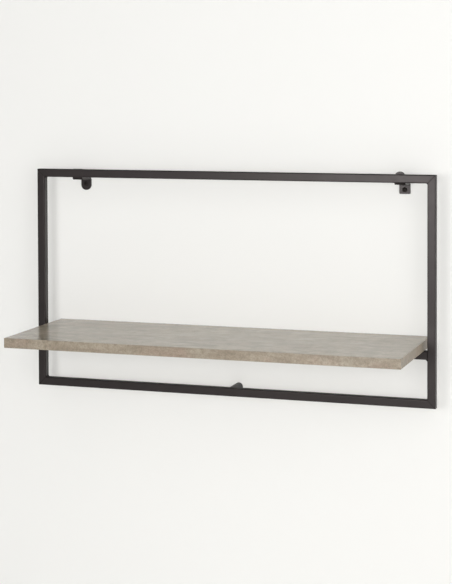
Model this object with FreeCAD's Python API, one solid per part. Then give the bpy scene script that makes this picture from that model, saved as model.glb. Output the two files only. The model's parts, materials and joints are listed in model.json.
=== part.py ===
import FreeCAD, Part
import math
import os

# Wall shelf: a laminated board carried inside a rectangular frame of square steel tube.
# The frame is mitred and welded, and stands off the wall on two bent strip brackets
# at its top and one round spacer at the middle of its bottom tube. The board lies on a
# rail welded between the uprights. It reaches far in front of the frame, and back to the
# wall, and is screwed from below to four flat tabs welded to the rail.
#
# Millimetres. X runs to the right, Y into the wall and Z up. The origin is on the wall,
# midway between the two wall holes.

# Frame of square tube
frame_width = 650.0
frame_height = 350.0
tube_size = 12.7
tube_wall = 1.2
tube_corner_radius = 1.5
tube_inner_radius = 0.5
wall_standoff = 38.0

# Board: core, laminate on both faces and a band on each edge
board_depth = 210.0
board_thickness = 15.0
board_end_clearance = 5.0
board_underside_height = 86.0
laminate_thickness = 0.6
edge_band_thickness = 0.8
edge_band_radius = 0.5

# Wall bracket: one pressing of flat strip, used either way up.
# One end is round and one is square, and each has a hole. Its web falls a little towards
# the wall, because the two bends spring back from square.
strip_width = 17.0
strip_thickness = 3.0
bend_radius = 1.5
strip_hole_diameter = 5.0
round_end_reach = 10.2
square_end_reach = 6.5
square_end_radius = 1.5
round_hole_to_web = 8.5
square_hole_to_web = 9.5
web_fall = 1.5
left_bracket_inset = 65.0
right_bracket_inset = 57.0

# Screws that hold the brackets to the top tube
bracket_screw_diameter = 4.2
bracket_screw_length = 9.0
bracket_screw_head_diameter = 8.0
bracket_screw_head_height = 2.6

# Round spacer behind the bottom tube, with its screw and its rubber pad
spacer_diameter = 13.0
spacer_edge_bevel = 0.8
spacer_bore_diameter = 4.8
spacer_counterbore_diameter = 9.0
spacer_counterbore_depth = 6.0
spacer_pad_thickness = 2.0
spacer_screw_diameter = 4.2
spacer_screw_bite = 8.0
spacer_screw_head_diameter = 7.8
spacer_screw_head_height = 2.6

# Flat tabs under the board, welded to the front and the back of the rail
tab_width = 20.0
tab_thickness = 3.0
tab_corner_radius = 4.0
tab_front_reach = 95.0
tab_rear_reach = 30.0
tab_inset = 115.0
tab_hole_diameter = 4.4
tab_hole_to_end = 10.0

# Screws from the tabs into the board
board_screw_diameter = 3.5
board_screw_length = 14.0
board_screw_head_diameter = 7.0
board_screw_head_height = 2.2

# Form that all the screws share: a bevelled head with a cross recess, and a pointed shank
head_rim_share = 0.4
head_top_share = 0.68
recess_width_share = 0.13
recess_span_share = 0.62
recess_depth_share = 0.6
point_length_share = 0.9

# Weld beads
corner_weld_leg = 1.6
corner_weld_setback = 1.0
rail_weld_leg = 2.5
tab_weld_leg = 2.5
weld_bulge_share = 0.58

# A hole that a screw bites into is this much wider than the screw, all round
screw_clearance = 0.1
# Cutting shapes run this far past what they cut
overrun = 1.0
# Points nearer than this are one point
same_point = 0.00001

# Heights, worked out from the sizes above
hole_drop = square_hole_to_web + web_fall + round_hole_to_web
top_tube_z = hole_drop
frame_top = top_tube_z + tube_size / 2
frame_bottom = frame_top - frame_height
bottom_tube_z = frame_bottom + tube_size / 2
board_bottom = frame_bottom + board_underside_height
board_top = board_bottom + board_thickness

# Places across the width
hole_spacing = frame_width - left_bracket_inset - right_bracket_inset
left_hole_x = -hole_spacing / 2
right_hole_x = hole_spacing / 2
frame_left = left_hole_x - left_bracket_inset
frame_right = frame_left + frame_width
frame_middle = (frame_left + frame_right) / 2
board_left = frame_left + tube_size + board_end_clearance
board_right = frame_right - tube_size - board_end_clearance
tab_places = {"left": frame_left + tab_inset, "right": frame_right - tab_inset}

# Places through the depth
frame_back = -wall_standoff
frame_front = frame_back - tube_size
board_front = -board_depth
front_screw_y = frame_front - tab_front_reach + tab_hole_to_end
rear_screw_y = frame_back + tab_rear_reach - tab_hole_to_end
spacer_back = -spacer_pad_thickness

ALONG_X = FreeCAD.Vector(1, 0, 0)
ALONG_Y = FreeCAD.Vector(0, 1, 0)
ALONG_Z = FreeCAD.Vector(0, 0, 1)
QUARTER_TURN = 90
HALF_TURN = 180


# Shapes that several pieces use

def rounded_face(corners):
    """A flat face from (point, radius) corners in order, each rounded by its own radius."""
    stops = []
    for index, (point, radius) in enumerate(corners):
        before = (corners[index - 1][0] - point).normalize()
        after = (corners[(index + 1) % len(corners)][0] - point).normalize()
        half_angle = before.getAngle(after) / 2
        run = radius / math.tan(half_angle)
        to_crown = radius / math.sin(half_angle) - radius
        crown = point + (before + after).normalize() * to_crown
        stops.append((point + before * run, crown, point + after * run, radius))
    edges = []
    for index, (start, crown, end, radius) in enumerate(stops):
        if radius > 0:
            edges.append(Part.Arc(start, crown, end).toShape())
        following = stops[(index + 1) % len(stops)][0]
        if not end.isEqual(following, same_point):
            edges.append(Part.makeLine(end, following))
    return Part.Face(Part.Wire(edges))


def box(x_span, y_span, z_span):
    """A box from (low, high) spans along the three axes."""
    corner = FreeCAD.Vector(x_span[0], y_span[0], z_span[0])
    sides = (x_span[1] - x_span[0], y_span[1] - y_span[0], z_span[1] - z_span[0])
    return Part.makeBox(*sides, corner)


def bar_along_x(x_span, y_span, z_span, radii):
    """A bar along X. radii round its low-low, high-low, high-high and low-high edges in Y, Z."""
    places = ((0, 0), (1, 0), (1, 1), (0, 1))
    corners = [
        (FreeCAD.Vector(x_span[0], y_span[y_end], z_span[z_end]), radius)
        for (y_end, z_end), radius in zip(places, radii)
    ]
    return rounded_face(corners).extrude(ALONG_X * (x_span[1] - x_span[0]))


def moved(shape, x, y, z):
    """A copy of the shape, moved."""
    copy = shape.copy()
    copy.translate(FreeCAD.Vector(x, y, z))
    return copy


def turned(shape, axis, angle):
    """A copy of the shape, turned about an axis through the origin."""
    copy = shape.copy()
    copy.rotate(FreeCAD.Vector(0, 0, 0), axis, angle)
    return copy


def screw(shank, length, head, head_height):
    """A screw along Z: the head's seat is at the origin, the head is below and the point above."""
    radius = shank / 2
    head_radius = head / 2
    outline = [
        FreeCAD.Vector(0, 0, length),
        FreeCAD.Vector(radius, 0, length - shank * point_length_share),
        FreeCAD.Vector(radius, 0, 0),
        FreeCAD.Vector(head_radius, 0, 0),
        FreeCAD.Vector(head_radius, 0, -head_height * head_rim_share),
        FreeCAD.Vector(head_radius * head_top_share, 0, -head_height),
        FreeCAD.Vector(0, 0, -head_height),
    ]
    section = Part.Face(Part.makePolygon(outline + outline[:1]))
    body = section.revolve(FreeCAD.Vector(0, 0, 0), ALONG_Z, 2 * HALF_TURN)
    arm = head * recess_span_share / 2
    half_width = head * recess_width_share / 2
    depth = (-head_height - overrun, -head_height * (1 - recess_depth_share))
    cross = box((-arm, arm), (-half_width, half_width), depth)
    cross = cross.fuse(box((-half_width, half_width), (-arm, arm), depth))
    return body.cut(cross)


def weld_bead(leg, length):
    """A bead along X in the corner between the planes y = 0 and z = 0, at y > 0 and z < 0."""
    bulge = leg * weld_bulge_share
    corner = FreeCAD.Vector(0, 0, 0)
    out = FreeCAD.Vector(0, leg, 0)
    down = FreeCAD.Vector(0, 0, -leg)
    edges = [
        Part.makeLine(corner, out),
        Part.Arc(out, FreeCAD.Vector(0, bulge, -bulge), down).toShape(),
        Part.makeLine(down, corner),
    ]
    return Part.Face(Part.Wire(edges)).extrude(ALONG_X * length)


# Frame

def tube_along_x(x_span, centre_z):
    """Square tube of the frame's section, open at both ends."""
    y_span = (frame_front, frame_back)
    z_span = (centre_z - tube_size / 2, centre_z + tube_size / 2)
    outside = bar_along_x(x_span, y_span, z_span, [tube_corner_radius] * 4)
    inner_y = (y_span[0] + tube_wall, y_span[1] - tube_wall)
    inner_z = (z_span[0] + tube_wall, z_span[1] - tube_wall)
    long_span = (x_span[0] - overrun, x_span[1] + overrun)
    inside = bar_along_x(long_span, inner_y, inner_z, [tube_inner_radius] * 4)
    return outside.cut(inside)


def tube_along_z(centre_x, z_span):
    """The same tube, upright."""
    middle_y = (frame_front + frame_back) / 2
    lying = tube_along_x((z_span[0], z_span[1]), 0)
    upright = turned(moved(lying, 0, -middle_y, 0), ALONG_Y, -QUARTER_TURN)
    return moved(upright, centre_x, middle_y, 0)


def mitre_block(near_corners, far_corners):
    """What a mitred tube keeps: a flat block whose sloped ends are the mitre planes."""
    outer_a, outer_b = near_corners
    inner_b, inner_a = far_corners
    face = Part.Face(Part.makePolygon([outer_a, outer_b, inner_b, inner_a, outer_a]))
    return face.extrude(ALONG_Y * (tube_size + 2 * overrun))


def frame_corner(x_side, z_side, inset):
    """A corner of the frame's outline, moved in along the diagonal, in front of the frame."""
    x = frame_left + inset if x_side == "left" else frame_right - inset
    z = frame_bottom + inset if z_side == "bottom" else frame_top - inset
    return FreeCAD.Vector(x, frame_front - overrun, z)


def frame_tube(tube, end_a, end_b):
    """Mitres a tube between two of the frame's corners, each named (x side, z side)."""
    outer = (frame_corner(*end_a, 0), frame_corner(*end_b, 0))
    inner = (frame_corner(*end_b, tube_size), frame_corner(*end_a, tube_size))
    return tube.common(mitre_block(outer, inner))


def frame_top_tube():
    """The top tube, with a hole in its back wall for each bracket's screw."""
    tube = tube_along_x((frame_left, frame_right), top_tube_z)
    for x in (left_hole_x, right_hole_x):
        tube = tube.cut(back_wall_hole(x, top_tube_z, bracket_screw_diameter))
    return frame_tube(tube, ("left", "top"), ("right", "top"))


def frame_bottom_tube():
    """The bottom tube, with a hole in its back wall for the spacer's screw."""
    tube = tube_along_x((frame_left, frame_right), bottom_tube_z)
    tube = tube.cut(back_wall_hole(frame_middle, bottom_tube_z, spacer_screw_diameter))
    return frame_tube(tube, ("left", "bottom"), ("right", "bottom"))


def frame_upright(side):
    """An upright, mitred to the top and the bottom tube."""
    centres = {"left": frame_left + tube_size / 2, "right": frame_right - tube_size / 2}
    tube = tube_along_z(centres[side], (frame_bottom, frame_top))
    return frame_tube(tube, (side, "bottom"), (side, "top"))


def back_wall_hole(x, z, screw_diameter):
    """The hole that a screw from behind bites into, through one wall of the tube."""
    radius = screw_diameter / 2 + screw_clearance
    start = FreeCAD.Vector(x, frame_back - tube_wall - overrun, z)
    return Part.makeCylinder(radius, tube_wall + 2 * overrun, start, ALONG_Y)


def shelf_rail():
    """The rail that the board lies on, between the uprights."""
    ends = (frame_left + tube_size, frame_right - tube_size)
    return tube_along_x(ends, board_bottom - tube_size / 2)


def frame_corner_welds():
    """A small bead in each inner corner of the frame, set back from its front."""
    length = tube_size - 2 * corner_weld_setback
    back_end = frame_back - corner_weld_setback
    top_left = turned(weld_bead(corner_weld_leg, length), ALONG_Z, -QUARTER_TURN)
    beads = []
    for x_side, z_side, turn in (
        ("left", "top", 0),
        ("right", "top", QUARTER_TURN),
        ("right", "bottom", HALF_TURN),
        ("left", "bottom", -QUARTER_TURN),
    ):
        place = frame_corner(x_side, z_side, tube_size)
        bead = turned(top_left, ALONG_Y, turn)
        beads.append(moved(bead, place.x, back_end, place.z))
    return Part.makeCompound(beads)


def rail_welds():
    """A bead under each end of the rail, across the upright."""
    length = tube_size - 2 * tube_corner_radius
    start_y = frame_front + tube_corner_radius
    low = board_bottom - tube_size
    left_bead = turned(weld_bead(rail_weld_leg, length), ALONG_Z, -QUARTER_TURN)
    right_bead = turned(weld_bead(rail_weld_leg, length), ALONG_Z, QUARTER_TURN)
    return Part.makeCompound([
        moved(left_bead, frame_left + tube_size, start_y + length, low),
        moved(right_bead, frame_right - tube_size, start_y, low),
    ])


# Tabs under the board

def bearer_tab(x, root_y, end_y):
    """A flat tab from the rail's face at root_y to its rounded end, with its screw hole."""
    half = tab_width / 2
    low = board_bottom - tab_thickness
    corners = [
        (FreeCAD.Vector(x - half, root_y, low), 0),
        (FreeCAD.Vector(x - half, end_y, low), tab_corner_radius),
        (FreeCAD.Vector(x + half, end_y, low), tab_corner_radius),
        (FreeCAD.Vector(x + half, root_y, low), 0),
    ]
    plate = rounded_face(corners).extrude(ALONG_Z * tab_thickness)
    inward = math.copysign(tab_hole_to_end, root_y - end_y)
    start = FreeCAD.Vector(x, end_y + inward, low - overrun)
    height = tab_thickness + 2 * overrun
    return plate.cut(Part.makeCylinder(tab_hole_diameter / 2, height, start, ALONG_Z))


def front_tab(side):
    return bearer_tab(tab_places[side], frame_front, frame_front - tab_front_reach)


def rear_tab(side):
    return bearer_tab(tab_places[side], frame_back, frame_back + tab_rear_reach)


def bearer_tab_welds():
    """A bead under each tab, along the face of the rail."""
    rear_bead = weld_bead(tab_weld_leg, tab_width)
    front_bead = moved(turned(rear_bead, ALONG_Z, HALF_TURN), tab_width, 0, 0)
    low = board_bottom - tab_thickness
    beads = []
    for x in tab_places.values():
        beads.append(moved(rear_bead, x - tab_width / 2, frame_back, low))
        beads.append(moved(front_bead, x - tab_width / 2, frame_front, low))
    return Part.makeCompound(beads)


def screw_places():
    """Where the tabs' screws go up into the board."""
    return [(x, y) for x in tab_places.values() for y in (front_screw_y, rear_screw_y)]


def board_screws():
    """The four screws from the tabs up into the board."""
    one = screw(
        board_screw_diameter, board_screw_length, board_screw_head_diameter,
        board_screw_head_height,
    )
    seat_z = board_bottom - tab_thickness
    return Part.makeCompound([moved(one, x, y, seat_z) for x, y in screw_places()])


# Wall brackets

def web_face(y, side):
    """Height of the sloping web at y: its top where side is 1, and its underside where it is -1."""
    slope = web_fall / (wall_standoff - strip_thickness)
    middle = -square_hole_to_web - slope * (y - strip_thickness / 2)
    return middle + side * strip_thickness / 2 * math.hypot(1, slope)


def bracket_pressing():
    """The bent strip, square end up: the square end's hole starts at the origin, along Y."""
    square_end = square_end_reach
    round_end = -hole_drop - round_end_reach
    outer_bend = bend_radius + strip_thickness
    half = strip_width / 2
    wall_leg = wall_standoff - strip_thickness
    side_view = [
        (FreeCAD.Vector(-half, 0, square_end), 0),
        (FreeCAD.Vector(-half, 0, web_face(0, -1)), outer_bend),
        (FreeCAD.Vector(-half, wall_leg, web_face(wall_leg, -1)), bend_radius),
        (FreeCAD.Vector(-half, wall_leg, round_end), 0),
        (FreeCAD.Vector(-half, wall_standoff, round_end), 0),
        (FreeCAD.Vector(-half, wall_standoff, web_face(wall_standoff, 1)), outer_bend),
        (FreeCAD.Vector(-half, strip_thickness, web_face(strip_thickness, 1)), bend_radius),
        (FreeCAD.Vector(-half, strip_thickness, square_end), 0),
    ]
    strip = rounded_face(side_view).extrude(ALONG_X * strip_width)
    front_view = [
        (FreeCAD.Vector(-half, -overrun, round_end), half),
        (FreeCAD.Vector(half, -overrun, round_end), half),
        (FreeCAD.Vector(half, -overrun, square_end), square_end_radius),
        (FreeCAD.Vector(-half, -overrun, square_end), square_end_radius),
    ]
    strip = strip.common(rounded_face(front_view).extrude(ALONG_Y * (wall_standoff + 2 * overrun)))
    depth = strip_thickness + 2 * overrun
    for y, z in ((0, 0), (wall_leg, -hole_drop)):
        start = FreeCAD.Vector(0, y - overrun, z)
        strip = strip.cut(Part.makeCylinder(strip_hole_diameter / 2, depth, start, ALONG_Y))
    return strip


def wall_bracket_left():
    """Square end up behind the top tube, round end down on the wall."""
    return moved(bracket_pressing(), left_hole_x, frame_back, top_tube_z)


def wall_bracket_right():
    """The same pressing the other way up: round end at the tube, square end on the wall."""
    return moved(turned(bracket_pressing(), ALONG_X, HALF_TURN), right_hole_x, 0, 0)


def bracket_screws():
    """One screw through each bracket into the back wall of the top tube."""
    upright = screw(
        bracket_screw_diameter, bracket_screw_length, bracket_screw_head_diameter,
        bracket_screw_head_height,
    )
    one = turned(upright, ALONG_X, QUARTER_TURN)
    seat_y = frame_back + strip_thickness
    return Part.makeCompound([
        moved(one, x, seat_y, top_tube_z) for x in (left_hole_x, right_hole_x)
    ])


# Spacer behind the bottom tube

def wall_spacer():
    """A bush with bevelled rims, a bore for its screw, and a wider bore for the head."""
    start = FreeCAD.Vector(frame_middle, frame_back, bottom_tube_z)
    length = spacer_back - frame_back
    bush = Part.makeCylinder(spacer_diameter / 2, length, start, ALONG_Y)
    rims = [edge for edge in bush.Edges if isinstance(edge.Curve, Part.Circle)]
    bush = bush.makeChamfer(spacer_edge_bevel, rims)
    before = FreeCAD.Vector(frame_middle, frame_back - overrun, bottom_tube_z)
    bore = Part.makeCylinder(spacer_bore_diameter / 2, length + 2 * overrun, before, ALONG_Y)
    seat = FreeCAD.Vector(frame_middle, spacer_back - spacer_counterbore_depth, bottom_tube_z)
    depth = spacer_counterbore_depth + overrun
    counterbore = Part.makeCylinder(spacer_counterbore_diameter / 2, depth, seat, ALONG_Y)
    return bush.cut(bore).cut(counterbore)


def wall_spacer_pad():
    """A rubber disc on the spacer's end, against the wall."""
    start = FreeCAD.Vector(frame_middle, spacer_back, bottom_tube_z)
    return Part.makeCylinder(spacer_diameter / 2, spacer_pad_thickness, start, ALONG_Y)


def wall_spacer_screw():
    """The screw that holds the spacer to the back wall of the bottom tube."""
    seat_y = spacer_back - spacer_counterbore_depth
    length = seat_y - frame_back + spacer_screw_bite
    upright = screw(
        spacer_screw_diameter, length, spacer_screw_head_diameter, spacer_screw_head_height,
    )
    return moved(turned(upright, ALONG_X, QUARTER_TURN), frame_middle, seat_y, bottom_tube_z)


# Board

core_x = (board_left + edge_band_thickness, board_right - edge_band_thickness)
core_y = (board_front + edge_band_thickness, -edge_band_thickness)
core_z = (board_bottom + laminate_thickness, board_top - laminate_thickness)


def with_screw_holes(panel):
    """Cuts the four holes that the board's screws bite into."""
    radius = board_screw_diameter / 2 + screw_clearance
    height = board_screw_length - tab_thickness + screw_clearance + overrun
    for x, y in screw_places():
        start = FreeCAD.Vector(x, y, board_bottom - overrun)
        panel = panel.cut(Part.makeCylinder(radius, height, start, ALONG_Z))
    return panel


def board_core():
    return with_screw_holes(box(core_x, core_y, core_z))


def board_top_laminate():
    return box(core_x, core_y, (core_z[1], board_top))


def board_bottom_laminate():
    return with_screw_holes(box(core_x, core_y, (board_bottom, core_z[0])))


def board_front_band():
    """Band over the whole front edge, past the ends of the side bands."""
    radii = [edge_band_radius, 0, 0, edge_band_radius]
    y_span = (board_front, core_y[0])
    return bar_along_x((board_left, board_right), y_span, (board_bottom, board_top), radii)


def board_rear_band():
    """Band over the whole rear edge, against the wall."""
    radii = [0, edge_band_radius, edge_band_radius, 0]
    return bar_along_x((board_left, board_right), (core_y[1], 0), (board_bottom, board_top), radii)


def board_side_band(side):
    """Band on one end of the board, between the front and the rear band."""
    inner = {"left": core_x[0], "right": core_x[1]}[side]
    outer = {"left": board_left, "right": board_right}[side]
    corners = [
        (FreeCAD.Vector(inner, core_y[0], board_bottom), 0),
        (FreeCAD.Vector(outer, core_y[0], board_bottom), edge_band_radius),
        (FreeCAD.Vector(outer, core_y[0], board_top), edge_band_radius),
        (FreeCAD.Vector(inner, core_y[0], board_top), 0),
    ]
    return rounded_face(corners).extrude(ALONG_Y * (core_y[1] - core_y[0]))


pieces = {
    "frame_top_tube": frame_top_tube(),
    "frame_bottom_tube": frame_bottom_tube(),
    "frame_left_upright": frame_upright("left"),
    "frame_right_upright": frame_upright("right"),
    "frame_corner_welds": frame_corner_welds(),
    "shelf_rail": shelf_rail(),
    "rail_welds": rail_welds(),
    "front_tab_left": front_tab("left"),
    "front_tab_right": front_tab("right"),
    "rear_tab_left": rear_tab("left"),
    "rear_tab_right": rear_tab("right"),
    "tab_welds": bearer_tab_welds(),
    "wall_bracket_left": wall_bracket_left(),
    "wall_bracket_right": wall_bracket_right(),
    "bracket_screws": bracket_screws(),
    "wall_spacer": wall_spacer(),
    "wall_spacer_pad": wall_spacer_pad(),
    "wall_spacer_screw": wall_spacer_screw(),
    "board_core": board_core(),
    "board_top_laminate": board_top_laminate(),
    "board_bottom_laminate": board_bottom_laminate(),
    "board_front_band": board_front_band(),
    "board_rear_band": board_rear_band(),
    "board_left_band": board_side_band("left"),
    "board_right_band": board_side_band("right"),
    "board_screws": board_screws(),
}

os.makedirs("parts", exist_ok=True)
for name, shape in pieces.items():
    shape.exportStep("parts/" + name + ".step")
    extent = shape.BoundBox
    print(
        name, len(shape.Solids), "solids, valid", shape.isValid(),
        "X %.2f to %.2f" % (extent.XMin, extent.XMax),
        "Y %.2f to %.2f" % (extent.YMin, extent.YMax),
        "Z %.2f to %.2f" % (extent.ZMin, extent.ZMax),
    )
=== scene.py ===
import json
import math

import bmesh
import bpy
from mathutils import Matrix, Vector, noise


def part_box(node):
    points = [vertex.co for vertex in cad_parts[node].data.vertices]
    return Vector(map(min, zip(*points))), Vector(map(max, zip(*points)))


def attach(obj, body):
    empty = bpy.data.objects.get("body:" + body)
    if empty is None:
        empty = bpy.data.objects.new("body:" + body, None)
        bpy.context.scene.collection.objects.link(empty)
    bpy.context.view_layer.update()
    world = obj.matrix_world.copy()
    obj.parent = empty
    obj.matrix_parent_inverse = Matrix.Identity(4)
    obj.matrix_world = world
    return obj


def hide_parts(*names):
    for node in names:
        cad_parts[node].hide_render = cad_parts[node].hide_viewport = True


# A wall shelf: its finishes, its weld beads, screw heads and mitre seams, and the studio.
# Metres. X runs to the right, Y into the wall and Z up, and the wall is at Y = 0.

MM = 0.001
QUARTER_TURN = math.radians(90)
RIGHT = Vector((1, 0, 0))
BACK = Vector((0, 1, 0))
UP = Vector((0, 0, 1))

# Camera: its place in metres, its turns in degrees and its sensor in millimetres
IMAGE_HEIGHT = 584
SENSOR = 36.0
FOCAL_PIXELS = 1609.3
CENTRE_PIXEL_ROW = 130
CAMERA_PLACE = Vector((0.7847, -2.4132, 0.1698))
CAMERA_YAW = 18.533
CAMERA_PITCH = -1.8175
CAMERA_ROLL = -0.185
NEAREST_SEEN = 0.05
FARTHEST_SEEN = 60

# Wall, floor and lamps
WALL_GAP = 0.5 * MM
WALL_SIZE = 8.0
WALL_PAINT = (0.88, 0.875, 0.85, 1)
FLOOR_DROP = 1.5
FLOOR_SIZE = 16.0
FLOOR_PAINT = (0.84, 0.835, 0.82, 1)
AIM = Vector((-0.004, -0.05, -0.15))
LAMPS = {
    "front_lamp": {"place": Vector((-0.23, -2.69, 0.13)), "size": 0.7, "watts": 21.8},
    "right_lamp": {"place": Vector((1.2, -2.6, -0.2)), "size": 2.6, "watts": 31.6},
    "side_lamp": {"place": Vector((1.35, -1.45, 0.3)), "size": 2.0, "watts": 12.6},
    "high_lamp": {"place": Vector((0.0, -2.2, 1.6)), "size": 2.0, "watts": 12.7},
}

# The room's own light, how bright it shows, and how far the wall and floor show paler
ROOM_TINT = (1.0, 0.995, 0.985, 1)
ROOM_LIGHT = 0.06
BACKGROUND_LIGHT = 0.5
PALE = (0.96, 0.955, 0.925, 1)
WALL_LIFT = 0.35
FLOOR_LIFT = 0.7

# Powder coat: its tones, its roughness, and what dust and wear add to that
COAT_DARK = (0.0082, 0.0058, 0.0058, 1)
COAT_LIGHT = (0.0120, 0.0088, 0.0088, 1)
COAT_FLECK = (0.026, 0.021, 0.021, 1)
COAT_GLINT = (1.0, 0.93, 0.92, 1)
COAT_ROUGHNESS = (0.33, 0.40)
DUST_ROUGHNESS = 0.28
WEAR_ROUGHNESS = 0.2

# Specular level of the coat on flat faces, and where it is ground or lies thin
COAT_SHINE = 0.4
WORN_SHINE = 0.1
GROUND_SHARE = 0.8
THIN_SHARE = 0.7

# Seam along each mitre of the frame: ground up to one distance, and faded out at the other
SEAM_FULL = 0.3 * MM
SEAM_GONE = 0.8 * MM
SEAM_DEPTH = 0.12 * MM

# Outer side of the frame's square tube
TUBE = 12.7 * MM

# The board's printed concrete, on its faces and on its edges
LAMINATE_TONES = {
    "dark": (0.262, 0.224, 0.161, 1),
    "mid": (0.358, 0.311, 0.233, 1),
    "light": (0.434, 0.386, 0.303, 1),
    "rosy": (0.366, 0.303, 0.232, 1),
}
EDGE_TONES = {
    "dark": (0.187, 0.148, 0.106, 1),
    "mid": (0.290, 0.239, 0.176, 1),
    "light": (0.376, 0.325, 0.253, 1),
    "rosy": (0.348, 0.260, 0.203, 1),
}
PIT_SPACING = 6 * MM

# Weld beads, as large as the solids that they stand for
CORNER_BEAD_LEG = 1.6 * MM
RAIL_BEAD_LEG = 2.5 * MM
TAB_BEAD_LEG = 2.5 * MM
BEAD_BULGE = 0.58
BEAD_TOE = 3
BEAD_ARC_POINTS = 9
BEAD_START = 0.15 * MM
BEAD_FADE = 0.6 * MM
BEAD_UNEVENNESS = 0.05
LEAST_BEAD_STEPS = 12
STEPS_PER_RIPPLE = 7
RIPPLE_PITCH = 0.8 * MM
RIPPLE_DEPTH = 0.12
RIPPLE_SLOPE = 1.6
RIPPLE_WANDER = 0.35
WANDER_LENGTH = 2.2 * MM

# Screws in the wall, whose heads hold the brackets
WALL_SCREW_SPACING = 528 * MM
WALL_SCREW_HEAD = 7.6 * MM
WALL_SCREW_HEAD_HEIGHT = 2.6 * MM
WALL_SCREW_SHANK = 4.4 * MM
STRIP_THICKNESS = 3 * MM
SEAT_SHARE = 0.97
RIM_SHARE = 0.3
DOME_STEPS = 10
TURN_STEPS = 48

# Cross recess, as shares of the head's width and height, and of its own width
RECESS_SPAN_SHARE = 0.6
RECESS_WIDTH_SHARE = 0.15
RECESS_DEPTH_SHARE = 0.65
RECESS_TOP_SHARE = 1.2
RECESS_BOTTOM_TAPER = 0.55
RECESS_TOP_TAPER = 1.1

# How far the edges of pressed, turned and moulded pieces are rounded
STRIP_EDGE = 0.35 * MM
SCREW_EDGE = 0.18 * MM
PAD_EDGE = 0.4 * MM
EDGE_SEGMENTS = 3
SHARP_ANGLE = 40

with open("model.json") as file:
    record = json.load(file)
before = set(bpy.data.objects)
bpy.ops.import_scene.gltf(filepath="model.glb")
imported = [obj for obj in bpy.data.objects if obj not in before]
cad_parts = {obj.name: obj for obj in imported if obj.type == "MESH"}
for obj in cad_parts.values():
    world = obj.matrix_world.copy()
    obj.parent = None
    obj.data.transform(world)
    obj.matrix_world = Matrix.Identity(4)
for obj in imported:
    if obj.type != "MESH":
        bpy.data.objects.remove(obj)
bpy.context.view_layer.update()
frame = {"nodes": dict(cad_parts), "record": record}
nodes = frame["nodes"]
frame_box = (
    Vector((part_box("frame_left_upright")[0].x, 0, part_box("frame_bottom_tube")[0].z)),
    Vector((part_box("frame_right_upright")[1].x, 0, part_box("frame_top_tube")[1].z)),
)


# Node helpers

def new_tree(name):
    """A new material's node tree, with a Principled shader on its output."""
    material = bpy.data.materials.new(name)
    material.use_nodes = True
    tree = material.node_tree
    tree.nodes.clear()
    output = tree.nodes.new("ShaderNodeOutputMaterial")
    shader = tree.nodes.new("ShaderNodeBsdfPrincipled")
    tree.links.new(shader.outputs["BSDF"], output.inputs["Surface"])
    return material, tree, shader


def add(tree, kind, inputs=None, **settings):
    """A new node. An input is a value, or the output of another node, which is then linked."""
    node = tree.nodes.new("ShaderNode" + kind)
    for name, value in settings.items():
        setattr(node, name, value)
    for name, value in (inputs or {}).items():
        if isinstance(value, bpy.types.NodeSocket):
            tree.links.new(value, node.inputs[name])
        else:
            node.inputs[name].default_value = value
    return node


def places(tree, scale=(1, 1, 1)):
    """The point on the shelf in metres, stretched by scale."""
    spot = add(tree, "TexCoord").outputs["Object"]
    return add(tree, "Mapping", {"Vector": spot, "Scale": scale}).outputs["Vector"]


def cloud(tree, size, detail=4.0, roughness=0.5, distortion=0.0, stretch=(1, 1, 1)):
    """Soft noise from 0 to 1, with blots about size metres across."""
    return add(tree, "TexNoise", {
        "Vector": places(tree, stretch),
        "Scale": 1 / size,
        "Detail": detail,
        "Roughness": roughness,
        "Distortion": distortion,
    }).outputs["Fac"]


def span(tree, value, low, high, to_low=0.0, to_high=1.0):
    """Maps value from low..high to to_low..to_high, and holds it there."""
    return add(tree, "MapRange", {
        "Value": value,
        "From Min": low,
        "From Max": high,
        "To Min": to_low,
        "To Max": to_high,
    }).outputs["Result"]


def patches(tree, low, high, share, **shape):
    """Patches of soft noise: 0 where it is under low, and share where it is over high."""
    return span(tree, cloud(tree, **shape), low, high, to_high=share)


def math_node(tree, operation, first, second=0.0):
    """The result of one operation on numbers or links."""
    return add(tree, "Math", {0: first, 1: second}, operation=operation).outputs[0]


def blend(tree, share, first, second, mode="MIX"):
    """Mixes two colours. Each is a colour or a link."""
    mix = tree.nodes.new("ShaderNodeMix")
    mix.data_type = "RGBA"
    mix.blend_type = mode
    for socket, value in ((mix.inputs[0], share), (mix.inputs[6], first), (mix.inputs[7], second)):
        if isinstance(value, bpy.types.NodeSocket):
            tree.links.new(value, socket)
        else:
            socket.default_value = value
    return mix.outputs[2]


def relief(tree, shader, height, distance, under=None):
    """A bump of that real depth on the shader, on top of another bump if there is one."""
    inputs = {"Height": height, "Distance": distance}
    if under is not None:
        inputs["Normal"] = under
    normal = add(tree, "Bump", inputs).outputs["Normal"]
    tree.links.new(normal, shader.inputs["Normal"])
    return normal


def grey(level):
    """A colour without hue."""
    return (level, level, level, 1)


# Powder coat

def inward(tree, place, side, low, high):
    """How far a place on one axis lies inside the frame's outer face on that side."""
    outer = high if side > 0 else low
    return math_node(tree, "MULTIPLY", math_node(tree, "SUBTRACT", place, outer), -side)


def off_mitre(tree, side_x, side_z):
    """How far a point lies off the mitre plane of one corner of the frame, in metres.

    Past the corner's own square, far more than the width of a seam is added.
    """
    low, high = frame_box
    spot = add(tree, "SeparateXYZ", {"Vector": places(tree)}).outputs
    inward_x = inward(tree, spot["X"], side_x, low.x, high.x)
    inward_z = inward(tree, spot["Z"], side_z, low.z, high.z)
    across = math_node(tree, "ABSOLUTE", math_node(tree, "SUBTRACT", inward_x, inward_z))
    deepest = math_node(tree, "MAXIMUM", inward_x, inward_z)
    beyond = span(tree, deepest, low=TUBE, high=TUBE + MM)
    return math_node(tree, "ADD", across, beyond)


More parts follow.
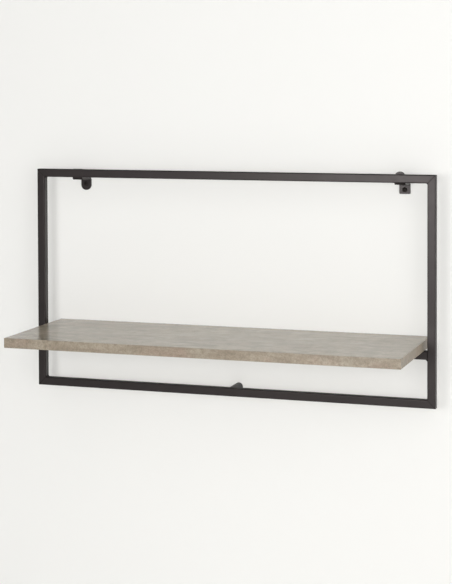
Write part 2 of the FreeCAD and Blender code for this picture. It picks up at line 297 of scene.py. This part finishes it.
def mitre_seams(tree):
    """1 on the ground seams across the frame's four corners, fading to 0 beside them."""
    nearest = None
    for side_x in (-1, 1):
        for side_z in (-1, 1):
            distance = off_mitre(tree, side_x, side_z)
            if nearest is not None:
                distance = math_node(tree, "MINIMUM", nearest, distance)
            nearest = distance
    return span(tree, nearest, low=SEAM_FULL, high=SEAM_GONE, to_low=1, to_high=0)


def facing(tree, axis):
    """The part of the surface's normal that lies along one axis of the shelf."""
    normal = add(tree, "TexCoord").outputs["Normal"]
    return add(tree, "SeparateXYZ", {"Vector": normal}).outputs[axis]


def rounded_edges(tree):
    """1 on the rounded long edges of the tubes, where powder lies thin and dull."""
    front = math_node(tree, "POWER", facing(tree, "Y"), 2.0)
    rest = math_node(tree, "SUBTRACT", 1.0, front)
    return span(tree, math_node(tree, "MULTIPLY", front, rest), low=0.06, high=0.2)


def worn_coat(tree, seam):
    """How far the coat is ground off at the seams, or lies thin on the rounded edges."""
    ground = math_node(tree, "MULTIPLY", seam, GROUND_SHARE)
    thin = math_node(tree, "MULTIPLY", rounded_edges(tree), THIN_SHARE)
    return math_node(tree, "MAXIMUM", ground, thin)


def coat_roughness(tree, worn):
    """The coat's sheen in slow patches, duller with dust on level faces and where it is worn."""
    low, high = COAT_ROUGHNESS
    sheen = span(tree, cloud(tree, 18 * MM, detail=5), 0.25, 0.75, low, high)
    level = math_node(tree, "ABSOLUTE", facing(tree, "Z"))
    dust = span(tree, level, low=0.2, high=0.8, to_high=DUST_ROUGHNESS)
    wear = span(tree, worn, low=0, high=1, to_high=WEAR_ROUGHNESS)
    return math_node(tree, "ADD", sheen, math_node(tree, "MAXIMUM", dust, wear))


def powder_coat():
    """Fine satin black powder coat, a little warm: grain, baked ripple, ground mitre seams."""
    material, tree, shader = new_tree("powder_coat")
    tone = patches(tree, low=0.3, high=0.7, share=1, size=30 * MM, detail=3)
    fleck = patches(tree, low=0.45, high=0.75, share=0.35, size=0.7 * MM, detail=2)
    colour = blend(tree, tone, COAT_DARK, COAT_LIGHT)
    colour = blend(tree, fleck, colour, COAT_FLECK)
    tree.links.new(colour, shader.inputs["Base Color"])
    seam = mitre_seams(tree)
    worn = worn_coat(tree, seam)
    tree.links.new(coat_roughness(tree, worn), shader.inputs["Roughness"])
    shader.inputs["Specular IOR Level"].default_value = COAT_SHINE
    shine = span(tree, worn, low=0, high=1, to_low=COAT_SHINE, to_high=WORN_SHINE)
    tree.links.new(shine, shader.inputs["Specular IOR Level"])
    shader.inputs["Specular Tint"].default_value = COAT_GLINT
    baked = relief(tree, shader, cloud(tree, 2.6 * MM, detail=1), 0.02 * MM)
    grain = relief(tree, shader, cloud(tree, 0.45 * MM, detail=2), 0.012 * MM, under=baked)
    sunk = span(tree, seam, low=0, high=1, to_low=1, to_high=0)
    relief(tree, shader, sunk, SEAM_DEPTH, under=grain)
    return material


# Board

def pits(tree, share):
    """Small round pits in some areas of a concrete face, as strong as share."""
    cells = add(tree, "TexVoronoi", {"Vector": places(tree), "Scale": 1 / PIT_SPACING})
    pit = span(tree, cells.outputs["Distance"], low=0.05, high=0.11, to_low=1, to_high=0)
    some = patches(tree, low=0.5, high=0.62, share=share, size=26 * MM, detail=2)
    return math_node(tree, "MULTIPLY", pit, some)


def concrete_colour(tree, tones, drift_size, blot_size, grain_size, pitted):
    """Drifts of tone and hue, dark smears and blots, pale spots, grain and pits."""
    drift = patches(
        tree, low=0.35, high=0.65, share=1,
        size=drift_size, detail=5, roughness=0.55, distortion=0.8,
    )
    hue = patches(
        tree, low=0.46, high=0.62, share=0.75,
        size=drift_size * 0.4, detail=4, roughness=0.6, distortion=0.5, stretch=(0.7, 1, 1),
    )
    smear = patches(
        tree, low=0.46, high=0.7, share=0.8,
        size=drift_size * 0.35, detail=7, roughness=0.62, distortion=1.4, stretch=(0.4, 1.3, 1.3),
    )
    blot = patches(
        tree, low=0.44, high=0.68, share=0.7,
        size=blot_size, detail=5, roughness=0.6, distortion=0.4,
    )
    pale = patches(
        tree, low=0.54, high=0.72, share=0.6,
        size=blot_size * 1.6, detail=5, roughness=0.66, distortion=1.0,
    )
    grain = patches(tree, low=0.3, high=0.7, share=1, size=grain_size, detail=3, roughness=0.7)
    colour = blend(tree, drift, tones["mid"], tones["light"])
    colour = blend(tree, hue, colour, tones["rosy"])
    colour = blend(tree, smear, colour, tones["dark"])
    colour = blend(tree, blot, colour, tones["dark"])
    colour = blend(tree, pale, colour, tones["light"])
    shade = blend(tree, grain, grey(0.78), grey(1.18))
    colour = blend(tree, 1.0, colour, shade, "MULTIPLY")
    return blend(tree, pits(tree, pitted), colour, tones["dark"])


def concrete_face(material, tree, shader, colour, roughness, grain_relief, slow_relief):
    """Gives a printed face its colour, a satin sheen in patches, and a fine and a slow relief."""
    low, high = roughness
    tree.links.new(colour, shader.inputs["Base Color"])
    sheen = span(tree, cloud(tree, 35 * MM, detail=6, roughness=0.6), 0.3, 0.7, low, high)
    tree.links.new(sheen, shader.inputs["Roughness"])
    fine = relief(tree, shader, cloud(tree, 1.1 * MM, detail=4, roughness=0.7), grain_relief)
    relief(tree, shader, cloud(tree, 9 * MM, detail=3), slow_relief, under=fine)
    return material


def laminate():
    """The board's faces: large drifts, few pits and a smooth sheen."""
    material, tree, shader = new_tree("laminate")
    colour = concrete_colour(
        tree, LAMINATE_TONES,
        drift_size=150 * MM, blot_size=22 * MM, grain_size=1.2 * MM, pitted=0.3,
    )
    return concrete_face(
        material, tree, shader, colour,
        roughness=(0.20, 0.27), grain_relief=0.004 * MM, slow_relief=0.008 * MM,
    )


def edge_band():
    """The board's edges: small blots, more pits and a duller, browner face."""
    material, tree, shader = new_tree("edge_band")
    colour = concrete_colour(
        tree, EDGE_TONES,
        drift_size=110 * MM, blot_size=6 * MM, grain_size=1.8 * MM, pitted=1.0,
    )
    return concrete_face(
        material, tree, shader, colour,
        roughness=(0.34, 0.44), grain_relief=0.012 * MM, slow_relief=0.02 * MM,
    )


def chipboard():
    """Raw pressed chips: flakes of several tans with dark glue lines between them."""
    chip_size = 2.4 * MM
    dark_chip = (0.36, 0.25, 0.14, 1)
    light_chip = (0.62, 0.49, 0.32, 1)
    glue = (0.20, 0.13, 0.07, 1)
    material, tree, shader = new_tree("chipboard")
    chips = add(tree, "TexVoronoi", {
        "Vector": places(tree, (1, 1, 1.8)), "Scale": 1 / chip_size, "Randomness": 1.0,
    })
    flake = add(tree, "SeparateColor", {"Color": chips.outputs["Color"]}).outputs["Red"]
    colour = blend(tree, flake, dark_chip, light_chip)
    gap = span(tree, chips.outputs["Distance"], low=0.35, high=0.6, to_high=0.5)
    tree.links.new(blend(tree, gap, colour, glue), shader.inputs["Base Color"])
    shader.inputs["Roughness"].default_value = 0.85
    relief(tree, shader, chips.outputs["Distance"], 0.08 * MM)
    return material


# Screws, spacer and pad

def screw_metal(name, dark, light, roughness, metallic, shine=0.5):
    """Turned and coated steel: fine scratches and a slightly cloudy shine."""
    low, high = roughness
    material, tree, shader = new_tree(name)
    colour = blend(tree, cloud(tree, 1.5 * MM, detail=5), dark, light)
    tree.links.new(colour, shader.inputs["Base Color"])
    dullness = span(tree, cloud(tree, 0.5 * MM, detail=5), 0.3, 0.7, low, high)
    tree.links.new(dullness, shader.inputs["Roughness"])
    shader.inputs["Specular IOR Level"].default_value = shine
    shader.inputs["Metallic"].default_value = metallic
    relief(tree, shader, cloud(tree, 0.3 * MM, detail=3), 0.006 * MM)
    return material


def zinc():
    """Bright zinc plate on steel."""
    dark = (0.46, 0.47, 0.50, 1)
    light = (0.62, 0.62, 0.60, 1)
    return screw_metal("zinc_screw", dark, light, roughness=(0.24, 0.4), metallic=1.0)


def black_oxide():
    """Blackened steel, oiled and nearly matt."""
    dark = (0.009, 0.006, 0.005, 1)
    light = (0.018, 0.013, 0.011, 1)
    return screw_metal(
        "black_screw", dark, light, roughness=(0.5, 0.65), metallic=0.0, shine=0.25,
    )


def black_plastic():
    """Moulded black plastic with a spark-eroded texture."""
    dark = (0.034, 0.033, 0.032, 1)
    light = (0.050, 0.048, 0.046, 1)
    material, tree, shader = new_tree("black_plastic")
    tree.links.new(blend(tree, cloud(tree, 8 * MM), dark, light), shader.inputs["Base Color"])
    sheen = span(tree, cloud(tree, 5 * MM, detail=5), 0.3, 0.7, to_low=0.48, to_high=0.6)
    tree.links.new(sheen, shader.inputs["Roughness"])
    relief(tree, shader, cloud(tree, 0.35 * MM, detail=3), 0.02 * MM)
    return material


def rubber():
    """Matt black rubber, dusty in patches."""
    clean = (0.016, 0.016, 0.016, 1)
    dusty = (0.045, 0.043, 0.040, 1)
    material, tree, shader = new_tree("rubber_pad")
    dust = patches(tree, low=0.45, high=0.75, share=0.5, size=3 * MM, detail=6)
    tree.links.new(blend(tree, dust, clean, dusty), shader.inputs["Base Color"])
    shader.inputs["Roughness"].default_value = 0.82
    relief(tree, shader, cloud(tree, 0.6 * MM, detail=4), 0.03 * MM)
    return material


finishes = {
    "powder_coat": powder_coat(),
    "laminate": laminate(),
    "edge_band": edge_band(),
    "chipboard": chipboard(),
    "zinc_screw": zinc(),
    "black_screw": black_oxide(),
    "black_plastic": black_plastic(),
    "rubber_pad": rubber(),
}


def finish_piece(piece, slot):
    """Puts one finish on a whole piece, in place of what it had."""
    piece.data.materials.clear()
    piece.data.materials.append(finishes[slot])


for subpart in frame["record"]["subparts"]:
    finish_piece(nodes[subpart["node"]], subpart["material_slot"])


# New pieces

def new_piece(name, mesh_builder, slot):
    """Makes a mesh object, gives it a finish and lets it ride on the shelf's body."""
    bmesh.ops.recalc_face_normals(mesh_builder, faces=mesh_builder.faces)
    mesh = bpy.data.meshes.new(name)
    mesh_builder.to_mesh(mesh)
    mesh_builder.free()
    mesh.shade_smooth()
    piece = bpy.data.objects.new(name, mesh)
    bpy.context.scene.collection.objects.link(piece)
    piece.data.materials.append(finishes[slot])
    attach(piece, "root")
    return piece


def skin_rings(builder, rings):
    """Joins rings of points into a tube, closed at both ends."""
    loops = [[builder.verts.new(point) for point in ring] for ring in rings]
    for near, far in zip(loops, loops[1:]):
        for index in range(len(near)):
            after = (index + 1) % len(near)
            builder.faces.new((near[index], near[after], far[after], far[index]))
    builder.faces.new(list(reversed(loops[0])))
    builder.faces.new(loops[-1])


def ripple(along, seed):
    """The height of a hand-laid bead along its length, as a share of its full size."""
    wander = RIPPLE_WANDER * noise.noise(Vector((along / WANDER_LENGTH, seed, 0)))
    phase = (along / RIPPLE_PITCH + wander) % 1
    uneven = BEAD_UNEVENNESS * abs(noise.noise(Vector((seed, along / MM, 1))))
    return 1 - RIPPLE_DEPTH * phase ** RIPPLE_SLOPE - uneven


def bead_ring(corner, side_a, side_b, size):
    """One outline across a bead: its corner, and a bulging arc from side_a to side_b."""
    ring = [corner]
    for index in range(BEAD_ARC_POINTS):
        arc = index / (BEAD_ARC_POINTS - 1)
        out_a = math.cos(QUARTER_TURN * arc)
        out_b = math.sin(QUARTER_TURN * arc)
        fullness = 2 * BEAD_BULGE / (out_a + out_b)
        toe = abs(arc * 2 - 1) ** BEAD_TOE
        reach = size * (fullness * (1 - toe) + toe)
        ring.append(corner + side_a * (reach * out_a) + side_b * (reach * out_b))
    return ring


def add_bead(builder, start, along, side_a, side_b, leg, length, seed):
    """A rippled weld bead in a corner: it runs along, and has a leg on side_a and on side_b."""
    rings = []
    steps = max(LEAST_BEAD_STEPS, round(length / RIPPLE_PITCH * STEPS_PER_RIPPLE))
    for step in range(steps + 1):
        run = length * step / steps
        end_fade = min(1, (min(run, length - run) + BEAD_START) / BEAD_FADE) ** 0.5
        size = leg * ripple(run, seed) * end_fade
        rings.append(bead_ring(start + along * run, side_a, side_b, size))
    skin_rings(builder, rings)


def bead_piece(name, node, runs, leg):
    """Rippled beads in place of a weld node. A run is (start, along, side_a, side_b, length)."""
    builder = bmesh.new()
    for seed, (start, along, side_a, side_b, length) in enumerate(runs):
        add_bead(builder, start, along, side_a, side_b, leg, length, seed)
    piece = new_piece(name, builder, "powder_coat")
    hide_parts(node)


def corner_beads():
    """A bead in each inner corner of the frame."""
    low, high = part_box("frame_corner_welds")
    length = high.y - low.y
    runs = []
    for x, inside in ((low.x, RIGHT), (high.x, -RIGHT)):
        for z, upright in ((low.z, UP), (high.z, -UP)):
            runs.append((Vector((x, low.y, z)), BACK, inside, upright, length))
    bead_piece("corner_beads", "frame_corner_welds", runs, CORNER_BEAD_LEG)


def rail_beads():
    """A bead under each end of the rail."""
    low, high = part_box("rail_welds")
    length = high.y - low.y
    runs = [
        (Vector((x, low.y, high.z)), BACK, inside, -UP, length)
        for x, inside in ((low.x, RIGHT), (high.x, -RIGHT))
    ]
    bead_piece("rail_beads", "rail_welds", runs, RAIL_BEAD_LEG)


def tab_beads():
    """A bead under the root of each tab, along the rail."""
    runs = []
    for side in ("left", "right"):
        for end, outward in (("front", -BACK), ("rear", BACK)):
            low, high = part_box(end + "_tab_" + side)
            root = high.y if end == "front" else low.y
            runs.append((Vector((low.x, root, low.z)), RIGHT, outward, -UP, high.x - low.x))
    bead_piece("tab_beads", "tab_welds", runs, TAB_BEAD_LEG)


def turned_piece(builder, outline):
    """Turns an outline of (radius, distance in front of the wall) about a line along Y."""
    angles = [2 * math.pi * step / TURN_STEPS for step in range(TURN_STEPS)]
    skin_rings(builder, [
        [
            Vector((radius * math.cos(angle), -distance, radius * math.sin(angle)))
            for angle in angles
        ]
        for radius, distance in outline
    ])


def cut(piece, cutter):
    """Takes the cutter's shape out of the piece, and removes the cutter."""
    boolean = piece.modifiers.new("cut", "BOOLEAN")
    boolean.operation = "DIFFERENCE"
    boolean.solver = "EXACT"
    boolean.object = cutter
    view = bpy.context.evaluated_depsgraph_get()
    result = bpy.data.meshes.new_from_object(piece.evaluated_get(view))
    piece.modifiers.clear()
    piece.data = result
    bpy.data.objects.remove(cutter)


def recess_cutter():
    """A cross that narrows towards its bottom, as deep as a wall screw's recess."""
    top = STRIP_THICKNESS + WALL_SCREW_HEAD_HEIGHT * RECESS_TOP_SHARE
    bottom = STRIP_THICKNESS + WALL_SCREW_HEAD_HEIGHT * (1 - RECESS_DEPTH_SHARE)
    arm = WALL_SCREW_HEAD * RECESS_SPAN_SHARE / 2
    half = WALL_SCREW_HEAD * RECESS_WIDTH_SHARE / 2
    cross = [
        (arm, half), (half, half), (half, arm), (-half, arm), (-half, half), (-arm, half),
        (-arm, -half), (-half, -half), (-half, -arm), (half, -arm), (half, -half), (arm, -half),
    ]
    builder = bmesh.new()
    skin_rings(builder, [
        [Vector((x * taper, -distance, z * taper)) for x, z in cross]
        for distance, taper in ((bottom, RECESS_BOTTOM_TAPER), (top, RECESS_TOP_TAPER))
    ])
    bmesh.ops.recalc_face_normals(builder, faces=builder.faces)
    mesh = bpy.data.meshes.new("recess")
    builder.to_mesh(mesh)
    builder.free()
    cutter = bpy.data.objects.new("recess", mesh)
    bpy.context.scene.collection.objects.link(cutter)
    return cutter


def wall_screw(name, x):
    """A domed screw with a cross recess, through a bracket's hole as far as the wall."""
    shank = WALL_SCREW_SHANK / 2
    head = WALL_SCREW_HEAD / 2
    rim = STRIP_THICKNESS + WALL_SCREW_HEAD_HEIGHT * RIM_SHARE
    dome = WALL_SCREW_HEAD_HEIGHT * (1 - RIM_SHARE)
    outline = [
        (shank, 0),
        (shank, STRIP_THICKNESS),
        (head * SEAT_SHARE, STRIP_THICKNESS),
        (head, rim),
    ]
    for step in range(1, DOME_STEPS):
        turn = QUARTER_TURN * step / DOME_STEPS
        outline.append((head * math.cos(turn), rim + dome * math.sin(turn)))
    builder = bmesh.new()
    turned_piece(builder, outline)
    piece = new_piece(name, builder, "black_screw")
    cut(piece, recess_cutter())
    piece.location.x = x
    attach(piece, "root")


corner_beads()
rail_beads()
tab_beads()
wall_screw("wall_screw_left", -WALL_SCREW_SPACING / 2)
wall_screw("wall_screw_right", WALL_SCREW_SPACING / 2)


def soften(node, width):
    """Rounds the sharp edges of a CAD piece a little."""
    bevel = nodes[node].modifiers.new("soft_edges", "BEVEL")
    bevel.width = width
    bevel.segments = EDGE_SEGMENTS
    bevel.limit_method = "ANGLE"
    bevel.angle_limit = math.radians(SHARP_ANGLE)
    bevel.harden_normals = True


for side in ("left", "right"):
    soften("wall_bracket_" + side, STRIP_EDGE)
    soften("front_tab_" + side, STRIP_EDGE)
    soften("rear_tab_" + side, STRIP_EDGE)
for node in ("bracket_screws", "board_screws", "wall_spacer_screw"):
    soften(node, SCREW_EDGE)
soften("wall_spacer_pad", PAD_EDGE)


# Studio

def camera_turn():
    """Turns a camera that looks along -Z to the photograph's direction."""
    yaw = Matrix.Rotation(math.radians(CAMERA_YAW), 4, "Z")
    pitch = Matrix.Rotation(math.radians(90 + CAMERA_PITCH), 4, "X")
    roll = Matrix.Rotation(math.radians(CAMERA_ROLL), 4, "Z")
    return yaw @ pitch @ roll


def add_camera():
    """The photograph's camera. Its lens is shifted, as its centre lies above the picture's."""
    lens = bpy.data.cameras.new("photo_camera")
    lens.sensor_width = SENSOR
    lens.lens = FOCAL_PIXELS / IMAGE_HEIGHT * SENSOR
    lens.shift_y = (CENTRE_PIXEL_ROW - IMAGE_HEIGHT / 2) / IMAGE_HEIGHT
    lens.clip_start = NEAREST_SEEN
    lens.clip_end = FARTHEST_SEEN
    camera = bpy.data.objects.new("photo_camera", lens)
    bpy.context.scene.collection.objects.link(camera)
    camera.matrix_world = Matrix.Translation(CAMERA_PLACE) @ camera_turn()
    bpy.context.scene.camera = camera


def stage_plane(name, size, place, turn, material):
    """A square sheet of the studio, which faces +Z before its turn."""
    mesh = bpy.data.meshes.new(name)
    half = size / 2
    corners = [(-half, -half, 0), (half, -half, 0), (half, half, 0), (-half, half, 0)]
    mesh.from_pydata(corners, [], [(0, 1, 2, 3)])
    plane = bpy.data.objects.new(name, mesh)
    plane.matrix_world = Matrix.Translation(place) @ turn
    bpy.context.scene.collection.objects.link(plane)
    mesh.materials.append(material)


def background_rays(tree):
    """1 for the rays that show a background: from the camera, in gloss and through glass."""
    path = add(tree, "LightPath").outputs
    seen = math_node(tree, "MAXIMUM", path["Is Camera Ray"], path["Is Glossy Ray"])
    return math_node(tree, "MAXIMUM", seen, path["Is Transmission Ray"])


def one_sided(name, colour, lift):
    """Matt paint on the front of a sheet, that shows paler by the share lift than it lights.

    From behind, the sheet isn't there.
    """
    material = bpy.data.materials.new(name)
    material.use_nodes = True
    tree = material.node_tree
    tree.nodes.clear()
    paint = add(tree, "BsdfDiffuse", {"Color": colour})
    pale = add(tree, "Emission", {"Color": PALE, "Strength": 1.0})
    share = span(tree, background_rays(tree), low=0, high=1, to_high=lift)
    lifted = add(tree, "MixShader", {0: share, 1: paint.outputs[0], 2: pale.outputs[0]})
    clear = add(tree, "BsdfTransparent")
    behind = add(tree, "NewGeometry").outputs["Backfacing"]
    sides = add(tree, "MixShader", {0: behind, 1: lifted.outputs[0], 2: clear.outputs[0]})
    output = add(tree, "OutputMaterial")
    tree.links.new(sides.outputs[0], output.inputs["Surface"])
    return material


def add_lamp(name, place, size, watts):
    """A round soft lamp that points at the shelf and isn't seen itself."""
    light = bpy.data.lights.new(name, "AREA")
    light.shape = "DISK"
    light.size = size
    light.energy = watts
    lamp = bpy.data.objects.new(name, light)
    lamp.location = place
    lamp.rotation_mode = "QUATERNION"
    lamp.rotation_quaternion = (AIM - place).to_track_quat("-Z", "Y")
    lamp.visible_camera = False
    bpy.context.scene.collection.objects.link(lamp)


def add_world():
    """A dim plain room, which shows as a pale background."""
    world = bpy.data.worlds.new("room")
    bpy.context.scene.world = world
    world.use_nodes = True
    tree = world.node_tree
    tree.nodes.clear()
    seen = background_rays(tree)
    level = span(tree, seen, low=0, high=1, to_low=ROOM_LIGHT, to_high=BACKGROUND_LIGHT)
    room = add(tree, "Background", {"Color": ROOM_TINT, "Strength": level})
    output = add(tree, "OutputWorld")
    tree.links.new(room.outputs[0], output.inputs["Surface"])


add_camera()
wall_place = Vector((0, WALL_GAP, 0))
wall_turn = Matrix.Rotation(QUARTER_TURN, 4, "X")
wall_paint = one_sided("wall", WALL_PAINT, WALL_LIFT)
stage_plane("wall", WALL_SIZE, wall_place, wall_turn, wall_paint)
floor_place = Vector((0, 0, -FLOOR_DROP))
floor_paint = one_sided("floor", FLOOR_PAINT, FLOOR_LIFT)
stage_plane("floor", FLOOR_SIZE, floor_place, Matrix.Identity(4), floor_paint)
for name, lamp in LAMPS.items():
    add_lamp(name, **lamp)
add_world()
bpy.context.scene.view_settings.view_transform = "Standard"
